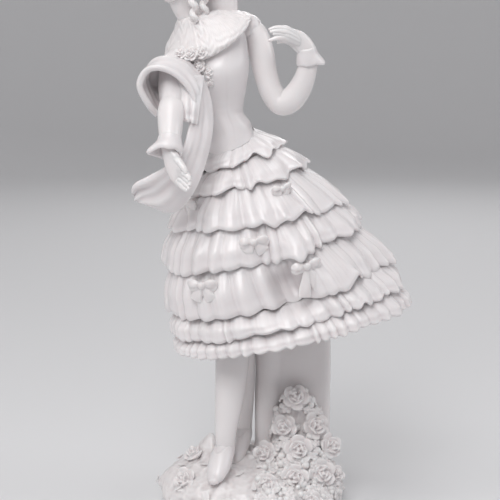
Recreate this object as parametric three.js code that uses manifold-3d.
// A glazed white porcelain dancer in a seven-flounce skirt, standing on a flowered mound before a column.
// Millimetres, +Z up, the front of the figure towards -Y. The origin is the centre of the base's underside.
// The figure is cast in separate pieces that are stuck together with slip. Every piece is cut back by the
// pieces made before it, grown by GAP, so that neighbours meet face to face without sharing any material.
import * as THREE from "three";
import { mergeVertices } from "three/addons/utils/BufferGeometryUtils.js";
import Module from "manifold-3d";

const wasm = await Module();
wasm.setup();

// ---------------------------------------------------------------- driving dimensions
const GAP = 0.3; // slip joint between two pieces
const SKIRT_WALL = 2.6; // cast wall of the underskirt
const FLOUNCE_WALL = 1.5; // moulded strip of a flounce
const FLOUNCE_FLARE = 2.7; // how far a flounce's lower edge stands off the underskirt
const PLEAT_DEPTH = 0.5; // pleats of the moulded flounces
const PLEATS = 20; // broad pleats round each flounce
const MOUND_WIDE = 46; // half width of the base
const MOUND_DEEP = 37; // half depth of the base
const MOUND_HIGH = 24; // top of the low ground
const VENT_RADIUS = 3; // firing vent in the underside
const VENT_DEPTH = 12;
const COLUMN_TOP = 150; // the column ends inside the skirt, under its wall
const BODY_TURN = -30; // the bodice faces left of the front by this many degrees
const BOW_SPAN = 13; // tip to tip

// ---------------------------------------------------------------- materials, as fired
const porcelain = (color, roughness) => new THREE.MeshStandardMaterial({ color, roughness, metalness: 0 });
const GLAZE = porcelain(0xeae6e4, 0.18);
const GLAZE_FLESH = porcelain(0xece8e6, 0.16);
const GLAZE_RELIEF = porcelain(0xe6e1df, 0.24);

// ---------------------------------------------------------------- shaping helpers
const TURN = Math.PI * 2;
const rad = (degrees) => (degrees * Math.PI) / 180;
const vec = (p) => new THREE.Vector3(...p);

// A closed solid from a three.js geometry, faces outwards.
function cast(geometry) {
  geometry.deleteAttribute("normal");
  geometry.deleteAttribute("uv");
  const merged = mergeVertices(geometry, 1e-3);
  const corners = merged.index.array;
  const faces = [];
  for (let i = 0; i < corners.length; i += 3) {
    const [a, b, c] = [corners[i], corners[i + 1], corners[i + 2]];
    if (a !== b && b !== c && a !== c) faces.push(a, b, c);
  }
  const vertProperties = merged.attributes.position.array;
  const made = (list) => {
    const triVerts = new Uint32Array(list);
    return new wasm.Manifold(new wasm.Mesh({ numProp: 3, vertProperties, triVerts }));
  };
  const first = made(faces);
  return first.volume() > 0 ? first : made(faces.reverse());
}

// The same, after every point is moved to place(u, v), where u and v are its own surface coordinates.
function solid(geometry, place) {
  const uv = geometry.getAttribute("uv");
  const position = geometry.getAttribute("position");
  for (let i = 0; i < position.count; i++) {
    position.setXYZ(i, ...place(uv.getX(i), uv.getY(i)));
  }
  return cast(geometry);
}

// Rings of equal length joined into one skin, with a point at the middle of each end ring.
function skin(rings) {
  const around = rings[0].length;
  const middle = (ring) => ring.reduce((sum, p) => sum.map((s, i) => s + p[i] / around), [0, 0, 0]);
  const rows = rings.length + 1;
  return solid(new THREE.SphereGeometry(1, around, rows), (u, v) => {
    const row = Math.round((1 - v) * rows);
    if (row === 0) return middle(rings[0]);
    if (row === rows) return middle(rings[rings.length - 1]);
    return rings[row - 1][Math.round(u * around) % around];
  });
}

// Smooth in-between rows for a short list of number rows, through every given row.
function blend(rows, steps) {
  const at = (i) => rows[Math.min(Math.max(i, 0), rows.length - 1)];
  const out = [];
  for (let i = 0; i < rows.length - 1; i++) {
    for (let n = 0; n < steps; n++) {
      const t = n / steps;
      out.push(
        at(i).map((p, c) => {
          const [before, next, after] = [at(i - 1)[c], at(i + 1)[c], at(i + 2)[c]];
          const pull = 2 * before - 5 * p + 4 * next - after;
          const bend = 3 * p - before - 3 * next + after;
          return p + (t * (next - before) + t * t * pull + t * t * t * bend) / 2;
        }),
      );
    }
  }
  return [...out, rows[rows.length - 1]];
}

// A body part in level sections: rows of [x, y, z, half width, half depth, rise to the right, dip to the front],
// turned about the vertical by BODY_TURN. nape is the share of the dip that is left behind the figure.
function figure(rows, grow, { steps = 2, around = 24, nape = 1 } = {}) {
  const wide = vec([Math.cos(rad(BODY_TURN)), Math.sin(rad(BODY_TURN)), 0]);
  const deep = vec([-wide.y, wide.x, 0]);
  const full = rows.map((row) => [...row, 0, 0].slice(0, 7));
  const rings = blend(full, steps).map(([x, y, z, a, b, rise, dip], i, all) => {
    const end = i === 0 ? -grow : i === all.length - 1 ? grow : 0;
    return Array.from({ length: around }, (_, k) => {
      const angle = (k / around) * TURN;
      const out = wide.clone().multiplyScalar(Math.cos(angle) * (a + grow));
      out.addScaledVector(deep, Math.sin(angle) * (b + grow));
      const drop = (dip * out.y * (out.y > 0 ? nape : 1)) / b;
      return [x + out.x, y + out.y, z + end + (rise * out.x) / a + drop];
    });
  });
  return skin(rings);
}

// A limb: rows of [x, y, z, radius, flatness], a round section carried along the points.
function limb(rows, grow, { steps = 2, around = 12, flat = [0, 1, 0] } = {}) {
  const points = blend(rows, steps);
  const spine = points.map((p) => vec(p.slice(0, 3)));
  const rings = points.map(([, , , radius, thin = 1], i) => {
    const along = spine[Math.min(i + 1, spine.length - 1)].clone().sub(spine[Math.max(i - 1, 0)]).normalize();
    const deep = vec(flat).addScaledVector(along, -vec(flat).dot(along)).normalize();
    const wide = along.clone().cross(deep);
    const centre = spine[i].clone();
    if (i === 0) centre.addScaledVector(along, -grow);
    if (i === spine.length - 1) centre.addScaledVector(along, grow);
    return Array.from({ length: around }, (_, k) => {
      const angle = (k / around) * TURN;
      const p = centre.clone().addScaledVector(wide, Math.cos(angle) * (radius + grow));
      return p.addScaledVector(deep, Math.sin(angle) * (radius * thin + grow)).toArray();
    });
  });
  return skin(rings);
}

// A round or oval lump with its middle at the given place.
function lump([x, y, z], [a, b, c], grow = 0, [around, rows] = [12, 8]) {
  return solid(new THREE.SphereGeometry(1, around, rows), (u, v) => {
    const [turn, fall] = [u * TURN, (1 - v) * Math.PI];
    const r = Math.sin(fall);
    const [right, back] = [(a + grow) * r * Math.cos(turn), (b + grow) * r * Math.sin(turn)];
    return [x + right, y + back, z + (c + grow) * Math.cos(fall)];
  });
}

// ---------------------------------------------------------------- the pieces and their order
const figurine = new THREE.Group();
const placed = [];

// Adds a piece: make(grow) gives its solid, grown by grow all round. It is cut back by every piece before it.
// What a cut leaves loose is dropped, and only the largest body stays.
function piece(name, material, make) {
  let body = make(0);
  const box = body.boundingBox();
  const near = placed.filter((other) =>
    [0, 1, 2].every((i) => other.box.min[i] - GAP < box.max[i] && other.box.max[i] + GAP > box.min[i]),
  );
  for (const other of near) body = body.subtract(other.make(GAP));
  body = body.decompose().sort((p, q) => q.volume() - p.volume())[0];
  placed.push({ make, box });
  const { vertProperties, triVerts, numProp, numVert } = body.getMesh();
  const points = new Float32Array(numVert * 3);
  for (let i = 0; i < numVert; i++) points.set(vertProperties.subarray(i * numProp, i * numProp + 3), i * 3);
  const geometry = new THREE.BufferGeometry();
  geometry.setAttribute("position", new THREE.BufferAttribute(points, 3));
  geometry.setIndex(new THREE.BufferAttribute(triVerts, 1));
  geometry.computeVertexNormals();
  const mesh = new THREE.Mesh(geometry, material);
  mesh.name = name;
  figurine.add(mesh);
}

// ---------------------------------------------------------------- the skirt's surface
// Rims of the underskirt, waist first, then where each flounce ends:
// [x, y, z, half width, half depth, rise at the right end, dip at the front].
const RIMS = [
  [-12, 1, 186, 13.5, 11, 5.4, 3.6],
  [-4.5, 1, 177.6, 18, 14.4, 6.6, 1.4],
  [-2, 1, 166.6, 26.6, 21, 7, 1.8],
  [3.2, 1, 150.2, 40, 29.4, 6.4, 3.2],
  [5.5, 1, 134.3, 45, 32.8, 10.8, 5.4],
  [14.2, 1, 114.3, 51, 35.6, 13, 5.8],
  [18.2, 1, 101.8, 53, 37.2, 13.2, 3.2],
  [20.8, 1, 92.3, 54, 38.2, 12, 2.2],
];
const FLOUNCES = RIMS.length - 1;

// The rim row at any level between two rims; 0 is the waist and FLOUNCES the hem.
function rimAt(level) {
  const i = Math.min(Math.max(Math.floor(level), 0), FLOUNCES - 1);
  const t = level - i;
  return RIMS[i].map((value, c) => value + (RIMS[i + 1][c] - value) * t);
}

// A point of the skirt at an angle round it and a level down it, pushed outwards by out.
function skirtPoint(angle, level, out) {
  const [x, y, z, a, b, rise, dip] = rimAt(level);
  const sway = 1.1 * Math.cos(3 * angle + 0.6) + 0.8 * Math.cos(5 * angle - 0.9);
  const fold = sway * Math.min(level / FLOUNCES, 1);
  const [c, s] = [Math.cos(angle), Math.sin(angle)];
  return [x + c * (a + fold + out), y + s * (b + fold + out), z + rise * c + dip * s];
}

const SEAMS = 2 * PLEATS; // points round every ring of the skirt
function skirtRing(level, out, shape = () => 0) {
  return Array.from({ length: SEAMS }, (_, k) => {
    const angle = (k / SEAMS) * TURN;
    return skirtPoint(angle, level, out + shape(angle));
  });
}

// The underskirt: a hollow bell, open below.
const CROWN_LEVEL = 0.55; // the hollow stops this far under the waist
const bellLevels = [7, 5.5, 4, 2.8, 1.4];
const underskirt = (grow) => {
  const outside = [0, 1, 2, 3, 4, 5, 6, 7].map((level) => skirtRing(level, grow));
  const hem = skirtRing(FLOUNCES, -SKIRT_WALL - grow);
  if (grow > 0) {
    outside[0].forEach((p) => (p[2] += grow));
    outside[outside.length - 1].forEach((p) => (p[2] -= grow));
    hem.forEach((p) => (p[2] -= grow));
  }
  const inside = bellLevels.slice(1).map((level) => skirtRing(level, -SKIRT_WALL - grow));
  const crown = skirtRing(CROWN_LEVEL, -SKIRT_WALL * 2);
  crown.forEach((p) => (p[2] -= grow));
  return skin([...outside, hem, ...inside, crown]);
};

// A flounce: a pleated strip that starts under the lip of the one above and flares to its own lip.
const LAP = 0.08; // share of a flounce tucked under the one above
const TUCK = 0.55; // thickness of the tucked edge
const BED = GAP + 0.5; // inner face of the tucked edge, off the underskirt
const KNEE = GAP + 0.3; // inner face where the flounce comes out
const LIP = FLOUNCE_FLARE + FLOUNCE_WALL; // outer face of the lip
const SHOULDER_LEVEL = 0.6; // the outer face is full from here down to the lip
function flounce(number) {
  const pleat = (angle) => PLEAT_DEPTH * Math.cos(PLEATS * angle);
  return (grow) => {
    const from = number === 1 ? 0.18 : number - 1;
    const top = from - LAP;
    const loop = [
      skirtRing(top, BED - grow),
      skirtRing(from, KNEE - grow),
      skirtRing(number, FLOUNCE_FLARE - grow, pleat),
      skirtRing(number, LIP + grow, pleat),
      skirtRing(number - 1 + SHOULDER_LEVEL, LIP - 0.3 + grow, pleat),
      skirtRing(from + 0.08, KNEE + TUCK + grow),
      skirtRing(top, BED + TUCK + grow),
    ];
    for (const i of [2, 3]) loop[i].forEach((p) => (p[2] -= grow));
    for (const i of [0, 6]) loop[i].forEach((p) => (p[2] += grow));
    return solid(new THREE.TorusGeometry(1, 0.3, loop.length, SEAMS), (u, v) => {
      return loop[Math.round(v * loop.length) % loop.length][Math.round(u * SEAMS) % SEAMS];
    });
  };
}

piece("underskirt", GLAZE, underskirt);
for (let n = 1; n <= FLOUNCES; n++) piece(`flounce_${n}`, GLAZE, flounce(n));

// ---------------------------------------------------------------- legs and shoes
// The bell's hollow, which the legs and the column reach up into.
const hollow = () => {
  const floor = skirtRing(FLOUNCES, -SKIRT_WALL - GAP).map(([x, y]) => [x, y, -1]);
  const walls = bellLevels.map((level) => skirtRing(level, -SKIRT_WALL - GAP));
  const crown = skirtRing(CROWN_LEVEL, -SKIRT_WALL * 2 - GAP);
  crown.forEach((p) => (p[2] -= GAP));
  return skin([floor, ...walls, crown]);
};

const rightLeg = (grow) =>
  limb(
    [
      [-13.3, -14.5, 32, 4.9],
      [-12, -12, 42, 5.7],
      [-10, -8.5, 57, 7.2],
      [-9, -6.5, 73, 8],
      [-8.5, -4, 95, 8.8],
      [-9, -1, 125, 9.5],
      [-9, 1, 160, 8],
    ],
    grow,
    { steps: 1, around: 14 },
  ).intersect(hollow());
const leftLeg = (grow) =>
  limb(
    [
      [-2.8, 12, 36.5, 3.8],
      [-2.6, 11, 44, 4.1],
      [-2.6, 10, 58, 4.9],
      [-3, 10, 76, 5.6],
      [-2, 11.4, 95, 6.2],
      [0.6, 13, 130, 6.2],
    ],
    grow,
    { steps: 1, around: 14 },
  ).intersect(hollow());
const rightShoe = (grow) =>
  limb(
    [
      [-11.8, -8.4, 30, 3.6, 1],
      [-12.6, -12, 30.6, 5.2, 1],
      [-14.2, -16.8, 28, 5.9, 0.85],
      [-16.2, -22, 23.6, 5.7, 0.8],
      [-17.4, -25.2, 20.8, 4.4, 0.75],
      [-17.8, -26.6, 19.6, 2, 0.75],
    ],
    grow,
    { steps: 1, flat: [0, 1, 1] },
  );
const leftShoe = (grow) =>
  limb(
    [
      [-2.2, 16.5, 33, 2.6, 1],
      [-2.8, 12.5, 34, 4.3, 1],
      [-4, 6.5, 31, 4.9, 0.8],
      [-6.2, 0, 26, 4.6, 0.75],
      [-7.6, -4.2, 22.5, 3.2, 0.7],
      [-8, -5.6, 21.4, 1.3, 0.7],
    ],
    grow,
    { steps: 1, flat: [0, 1, 1] },
  );
piece("right_shoe", GLAZE, rightShoe);
piece("left_shoe", GLAZE, leftShoe);
piece("right_leg", GLAZE_FLESH, rightLeg);
piece("left_leg", GLAZE_FLESH, leftLeg);

// ---------------------------------------------------------------- column and base
const COLUMN_POST = { x: 9.5, y: 13, radius: 7 };
const COLUMN_SLAB = { left: 14.5, right: 41.5, front: 9, back: 27, corner: 3 };
const COLUMN_LAP = 4; // the slab runs this far into the post
const COLUMN_FOOT = 6; // the column stands this deep in the mound
const column = (grow) => {
  const { left, right, front, back, corner } = COLUMN_SLAB;
  const slab = new THREE.Shape();
  const [x0, x1, y0, y1, r] = [left - COLUMN_LAP, right + grow, front - grow, back + grow, corner + grow];
  slab.moveTo(x0, y0).lineTo(x1 - r, y0).absarc(x1 - r, y0 + r, r, -Math.PI / 2, 0, false);
  slab.lineTo(x1, y1 - r).absarc(x1 - r, y1 - r, r, 0, Math.PI / 2, false).lineTo(x0, y1);
  const settings = { depth: COLUMN_TOP - COLUMN_FOOT, bevelEnabled: false, curveSegments: 3 };
  const post = new THREE.Shape();
  post.absarc(COLUMN_POST.x, COLUMN_POST.y, COLUMN_POST.radius + grow, 0, TURN, false);
  return extruded(slab, settings).add(extruded(post, { ...settings, curveSegments: 16 })).intersect(hollow());
};

// An upright extruded outline, standing just inside the mound.
function extruded(shape, settings) {
  return cast(new THREE.ExtrudeGeometry(shape, settings).translate(0, 0, COLUMN_FOOT));
}
piece("column", GLAZE, column);

// Broken ground: a low rocky dome, the heaps under the heel and behind the ankle, and the bank that carries the
// flowers up the column. The heaps are lumps: their middle, then their half sizes.
const BANK = [[25, -3, 8], [19, 19, 30]];
const CLIMB = [[24.6, 5, 22], [15, 7, 36]];
const HEEL = [[-10, 12, 6], [17, 16, 24]];
const CRAG = [[-21, 8, 12], [9, 9, 22]];
const FOOTING = [21, 18, 17];
const FLOOR_SIDE = 300; // a block under the base that levels its underside
// Rows of the dome: share of the full spread, share of the full height.
const DOME = [
  [0.9, 0],
  [0.99, 0.2],
  [1, 0.42],
  [0.95, 0.62],
  [0.84, 0.8],
  [0.66, 0.93],
  [0.4, 1],
];
const ground = (grow) => {
  const around = 24;
  const dome = skin(
    DOME.map(([spread, rise], row) =>
      Array.from({ length: around }, (_, k) => {
        const turn = (k / around) * TURN;
        const rocky = 1 + 0.03 * Math.cos(5 * turn + 1 + row) + 0.025 * Math.cos(9 * turn - row);
        const x = MOUND_WIDE * Math.cos(turn) * spread * rocky;
        const y = MOUND_DEEP * Math.sin(turn) * spread * rocky;
        const slope = rise * (0.03 * x + 0.14 * y);
        const z = MOUND_HIGH * rise + slope + grow * (rise * 2 - 1);
        return [x + grow * Math.cos(turn), y + grow * Math.sin(turn), z];
      }),
    ),
  );
  const bank = lump(...BANK, grow, [14, 8]);
  const climb = lump(...CLIMB, grow, [12, 8]);
  const heel = lump(...HEEL, grow, [10, 8]);
  const crag = lump(...CRAG, grow, [10, 8]);
  const { left, right, front, back } = COLUMN_SLAB;
  const footing = lump([(left + right) / 2, (front + back) / 2, 4], FOOTING, grow, [14, 8]);
  const vent = limb(
    [
      [-20, 8, -5, VENT_RADIUS],
      [-20, 8, VENT_DEPTH, VENT_RADIUS],
    ],
    0,
    { steps: 1, around: 16 },
  );
  return dome.add(bank).add(climb).add(heel).add(crag).add(footing).subtract(floor(grow)).subtract(vent);
};

// Everything under the base's underside.
const floor = (grow) => {
  const block = new THREE.BoxGeometry(FLOOR_SIDE, FLOOR_SIDE, FLOOR_SIDE);
  return cast(block.translate(0, 0, -FLOOR_SIDE / 2 - grow));
};
piece("base_mound", GLAZE_RELIEF, ground);

// ---------------------------------------------------------------- bodice, head and arms
const bodice = (grow) =>
  figure(
    [
      [-12.2, 0.9, 186.2, 14.6, 11.8, 5.8, 3.9],
      [-12.6, 0.4, 193, 13.8, 11.4, 2, 1],
      [-15.6, 0, 200, 12.2, 10.6],
      [-16, -0.8, 206, 13.8, 11.6],
      [-17.6, -2.4, 214, 17.2, 13.6],
      [-18.6, -3, 221, 19.6, 14.2],
      [-19, -1.6, 228.6, 20, 12.4, 1],
      [-19.6, -0.4, 236.6, 18.6, 9.6, 4],
      [-24.6, -0.6, 242.6, 9.8, 7.6, 2],
    ],
    grow,
    { steps: 1, around: 20 },
  );
piece("bodice", GLAZE, bodice);

const NECK = [
  [-26.6, -0.6, 243, 7],
  [-29.4, -1.8, 246, 6.2],
  [-33, -4, 251, 5.8],
  [-35, -5.6, 257, 6.2],
];
const HEAD_CENTRE = [-34, -7.5, 268.5];
const HEAD_SIZE = [12.6, 11, 15.8]; // half length front to back, half width, half height
const HEAD_TURN = 62; // the face looks left of the front by this many degrees
const facing = [-Math.sin(rad(HEAD_TURN)), -Math.cos(rad(HEAD_TURN))];

// An egg whose narrow end is the chin: the lower half draws in and comes forward.
const skull = (grow) =>
  solid(new THREE.SphereGeometry(1, 16, 10), (u, v) => {
    const [turn, fall] = [u * TURN, (1 - v) * Math.PI];
    const low = Math.max(0, -Math.cos(fall)) ** 2;
    const [a, b, c] = HEAD_SIZE.map((half) => half + grow);
    const ahead = Math.sin(fall) * Math.cos(turn) * a * (1 - 0.34 * low) + 5.2 * low;
    const side = Math.sin(fall) * Math.sin(turn) * b * (1 - 0.3 * low);
    const [fx, fy] = facing;
    const [x, y, z] = HEAD_CENTRE;
    return [x + fx * ahead - fy * side, y + fy * ahead + fx * side, z + c * Math.cos(fall)];
  });
const head = (grow) => skull(grow).add(limb(NECK, grow, { steps: 1 }));
piece("head", GLAZE_FLESH, head);

const SHOULDER = [-1, 3, 240.4];
const leftArm = (grow) =>
  limb(
    [
      [1.6, 2.8, 238.4, 6.1],
      [5, 2.2, 230, 6.3],
      [7.4, 0.8, 219.6, 6],
      [10.6, -1, 209.8, 5.9],
      [14.6, -2, 203.4, 6],
      [19.8, -3, 205.4, 5.9],
      [24.4, -4, 211, 5.7],
      [27.4, -5.2, 218.4, 5.1],
      [29, -6.2, 226, 4.6],
    ],
    grow,
    { steps: 1 },
  ).add(lump(SHOULDER, [5.8, 5.8, 6], grow, [10, 8]));
piece("left_arm", GLAZE_FLESH, leftArm);

const rightArm = (grow) =>
  limb(
    [
      [-33.6, -4, 229.6, 5.6],
      [-35, -11, 223.6, 6],
      [-35.8, -19, 215.6, 6],
      [-36.4, -27, 207.2, 6],
      [-37, -34, 200.6, 6.1],
      [-37, -40.5, 194, 5.7],
      [-36.8, -45.5, 187.4, 4.8],
    ],
    grow,
    { steps: 1 },
  );
piece("right_arm", GLAZE_FLESH, rightArm);

// Flared cuffs at the wrists, each drawn out to one point.
function cuff(rows, point) {
  return (grow) => limb(rows, grow, { steps: 1, around: 12 }).add(lump(point, [2.4, 1.8, 2.4], grow, [8, 5]));
}
const leftCuff = cuff(
  [
    [28.4, -6, 223.6, 5.6],
    [28.8, -6.6, 226.6, 6.7],
    [29, -7, 229.6, 6.2],
    [28.6, -7.2, 231.6, 4.4],
  ],
  [33.6, -6.6, 227.4],
);
const rightCuff = cuff(
  [
    [-37, -43.2, 190.4, 5.6],
    [-37.4, -45.4, 187.4, 6.7],
    [-37.8, -47, 184.6, 6.4],
    [-37.4, -48, 182.6, 4.6],
  ],
  [-43.2, -47.4, 182.8],
);
const leftHand = (grow) =>
  limb(
    [
      [29, -7, 229.6, 4.3, 0.8],
      [27.4, -8, 233.6, 4.9, 0.6],
      [22.4, -9.6, 237.2, 5, 0.5],
      [17, -11.8, 238.8, 4.4, 0.42],
      [12.6, -13.6, 239.2, 3.2, 0.42],
      [9.8, -14.8, 238.6, 1.4, 0.6],
    ],
    grow,
    { steps: 1, flat: [0.2, 0.1, 1] },
  );
const rightHand = (grow) =>
  limb(
    [
      [-37, -46.8, 184.8, 4.2, 0.8],
      [-36, -49, 180.4, 4.9, 0.6],
      [-33.8, -50.6, 175.4, 5.2, 0.5],
      [-30.6, -51.8, 170.4, 4.4, 0.45],
      [-28, -52.4, 166.8, 2.2, 0.5],
    ],
    grow,
    { steps: 1, flat: [0.3, 1, 0.4] },
  );
piece("left_hand", GLAZE_FLESH, leftHand);
piece("right_hand", GLAZE_FLESH, rightHand);
piece("left_cuff", GLAZE, leftCuff);
piece("right_cuff", GLAZE, rightCuff);

// ---------------------------------------------------------------- hair, veil and collar
const hair = (grow) => {
  const [fx, fy] = facing;
  const [x, y, z] = HEAD_CENTRE;
  const cap = lump([x - fx * 3.2, y - fy * 3.2, z + 4.6], [13.2, 12.8, 13.6], grow, [14, 8]);
  const bun = lump([x - fx * 12.6, y - fy * 12.6, z - 4], [6.4, 6.4, 8], grow, [10, 6]);
  return cap.add(bun);
};
piece("hair", GLAZE_RELIEF, hair);

// Ringlets hang beside the neck, on the side that faces the front.
const ringlet = (x, y, low, radius) => (grow) =>
  limb(
    [
      [x - 2, y + 1.4, 264, radius],
      [x - 1, y, 256, radius * 1.15],
      [x, y - 0.6, 249, radius * 1.05],
      [x + 0.4, y - 1, low, radius * 0.6],
    ],
    grow,
    { steps: 1, around: 8 },
  );
piece("ringlet_1", GLAZE_RELIEF, ringlet(-26.4, -12.4, 243, 2.3));
piece("ringlet_2", GLAZE_RELIEF, ringlet(-21.4, -9.6, 245, 2.1));

// The veil falls from the crown behind the head and rests on the shoulder.
const veil = (grow) =>
  figure(
    [
      [-14.6, 5.4, 244.6, 9.8, 4.6, 0.6],
      [-14.6, 5.4, 250, 9.6, 4.8],
      [-16.4, 5.2, 260, 10.8, 5.8],
      [-20.4, 4, 272, 12, 8.4],
      [-26, 0.5, 282, 11.8, 11],
      [-29, -3, 288, 8, 8],
    ],
    grow,
    { steps: 1, around: 18 },
  );
piece("veil", GLAZE, veil);

const collar = (grow) =>
  figure(
    [
      [-20.6, -2.6, 236.4, 22, 16.4, 11.6, 8.6],
      [-20.9, -2, 239.6, 21.4, 15.6, 9, 6.4],
      [-22, -1, 243.4, 16.6, 13, 5.6, 4],
      [-25.4, -1, 247, 10.8, 9.6, 2, 1],
    ],
    grow,
    { steps: 1, around: 18, nape: 0.35 },
  );
piece("lace_collar", GLAZE_RELIEF, collar);

// The short cap of the left sleeve sits over the shoulder, beyond the collar.
const shoulderCap = (grow) => lump(SHOULDER, [6.8, 6.8, 7], grow, [12, 8]);
piece("left_sleeve_cap", GLAZE, shoulderCap);

// ---------------------------------------------------------------- right sleeve and shawl
const rightSleeve = (grow) =>
  limb(
    [
      [-34.2, -8, 225, 7.6],
      [-35.4, -14, 220.4, 8.6],
      [-36, -20, 214.6, 8.8],
      [-36.2, -25, 209.6, 8.2],
    ],
    grow,
    { steps: 1, around: 12 },
  );
piece("right_sleeve", GLAZE, rightSleeve);

// The shawl is one long strip. Each row is its edge by the arm, its middle and its edge by the body.
const SHAWL_THICK = 2.2;
const SHAWL = [
  [[-43.6, -26, 199.6], [-41.8, -18, 201], [-40, -10, 203.6]],
  [[-47.6, -30, 205], [-46, -20, 206.4], [-42.6, -11, 209]],
  [[-51.4, -33, 213.4], [-49.6, -23, 216.6], [-43.6, -12, 217.6]],
  [[-47.6, -35, 220.4], [-45.6, -27, 224.4], [-40.4, -13.6, 225.4]],
  [[-39.6, -35.6, 220.8], [-38.6, -27.6, 225.6], [-35.4, -15, 227.4]],
  [[-31.4, -34, 214.8], [-29.4, -28.2, 221], [-27.8, -18, 223.6]],
  [[-29.6, -32.6, 204.6], [-24.6, -28.6, 210], [-20.6, -19.6, 213]],
  [[-30, -33.6, 194], [-23.4, -31, 196.6], [-17.6, -23.6, 198]],
  [[-32, -37, 184.4], [-26.4, -35.4, 183.6], [-19.6, -29.6, 182.6]],
  [[-38.6, -38.6, 177.4], [-33.6, -37.6, 171.6], [-25.4, -35.6, 166]],
  [[-47, -36, 172.4], [-43, -35, 163.2], [-35.6, -32.6, 153.8]],
  [[-54.6, -31, 168], [-51.4, -30.6, 162], [-46.4, -29, 156]],
  [[-56, -27.6, 163.6], [-54.4, -27.2, 161], [-52, -26.6, 158.4]],
];
const shawl = (grow) => {
  const half = SHAWL_THICK / 2 + grow;
  const across = 5;
  const grid = blend(SHAWL.map((row) => row.flat()), 2).map((row) => {
    const [armEdge, middle, bodyEdge] = [0, 3, 6].map((i) => vec(row.slice(i, i + 3)));
    const pull = middle.multiplyScalar(2).addScaledVector(armEdge, -0.5).addScaledVector(bodyEdge, -0.5);
    return new THREE.QuadraticBezierCurve3(armEdge, pull, bodyEdge).getPoints(across - 1);
  });
  const last = grid.length - 1;
  return skin(
    grid.map((points, i) => {
      const sides = points.map((p, k) => {
        const along = grid[Math.min(i + 1, last)][k].clone().sub(grid[Math.max(i - 1, 0)][k]);
        const over = points[Math.min(k + 1, across - 1)].clone().sub(points[Math.max(k - 1, 0)]).normalize();
        const reach = k === 0 ? -grow : k === across - 1 ? grow : 0;
        const end = i === 0 ? -grow : i === last ? grow : 0;
        const centre = p.clone().addScaledVector(over, reach).addScaledVector(along.clone().normalize(), end);
        const normal = along.cross(over).normalize();
        return [centre.clone().addScaledVector(normal, half), centre.addScaledVector(normal, -half)];
      });
      return [...sides.map((s) => s[0]), ...sides.map((s) => s[1]).reverse()].map((p) => p.toArray());
    }),
  );
};
piece("shawl", GLAZE, shawl);

// ---------------------------------------------------------------- bows and flowers
// A bow lies on a flounce at an angle round the skirt and a level down it, its span along the flounce.
const BOW_LIFT = 1.6; // the bow's middle stands this far off the flounce
function bow(angle, level) {
  const share = Math.min((level - Math.floor(level)) / SHOULDER_LEVEL, 1);
  const out = BOW_LIFT + KNEE + TUCK + (LIP - KNEE - TUCK) * share;
  const at = vec(skirtPoint(rad(angle), level, out));
  const side = vec(skirtPoint(rad(angle + 4), level, out)).sub(at).normalize();
  const across = [-1, -0.72, -0.4, 0, 0.4, 0.72, 1];
  const size = [1.1, 2.7, 2.5, 1.5, 2.5, 2.7, 1.1];
  const rows = across.map((t, i) => {
    const p = at.clone().addScaledVector(side, (t * BOW_SPAN) / 2);
    return [...p.toArray(), size[i], 0.7];
  });
  return (grow) => limb(rows, grow, { steps: 1, around: 8, flat: [0, 1, 0.2] });
}
const BOWS = [
  [-93, 3.32],
  [-68, 4.22],
  [-126, 4.2],
  [-62, 2.2],
  [-150, 2.2],
];
BOWS.forEach(([angle, level], i) => piece(`bow_${i + 1}`, GLAZE_RELIEF, bow(angle, level)));

// Roses: on the collar, down the bodice, on the bank and up the column.
const rose = (x, y, z, radius) => (grow) => lump([x, y, z], [radius, radius, radius * 0.85], grow, [9, 6]);
const BODICE_ROSES = [
  [-33.4, -20, 228.6, 3],
  [-28.4, -21.6, 228.6, 3],
  [-23.4, -20.6, 229.4, 2.9],
  [-25, -19.6, 222.6, 3],
  [-19.4, -18.4, 220, 2.9],
  [-18.6, -17.2, 215.4, 2.5],
];
BODICE_ROSES.forEach((row, i) => piece(`bodice_rose_${i + 1}`, GLAZE_RELIEF, rose(...row)));

// Roses on the bank and up the column keep their height; those on the low ground rise with it.
const BANK_ROSES = [
  [23, -2.4, 56, 5.2],
  [17, -5.4, 41, 5.4],
  [33.6, -4, 41.4, 5.6],
  [7, -8.2, 28.6, 5],
  [24, -17, 33, 5.8],
  [41.4, -6, 31.6, 5.2],
  [36, -18, 21, 5.6],
  [43, -10, 17.6, 4.8],
  [22, -24, 20, 5.6],
];
const GROUND_ROSES = [
  [8, -27, MOUND_HIGH * 0.71, 5],
  [30, -28, MOUND_HIGH * 0.38, 5.4],
  [-33.4, -17, MOUND_HIGH * 0.71, 5.2],
  [-29, 4, MOUND_HIGH * 1.04, 5],
];
[...BANK_ROSES, ...GROUND_ROSES].forEach((row, i) => piece(`base_rose_${i + 1}`, GLAZE_RELIEF, rose(...row)));

export default figurine;
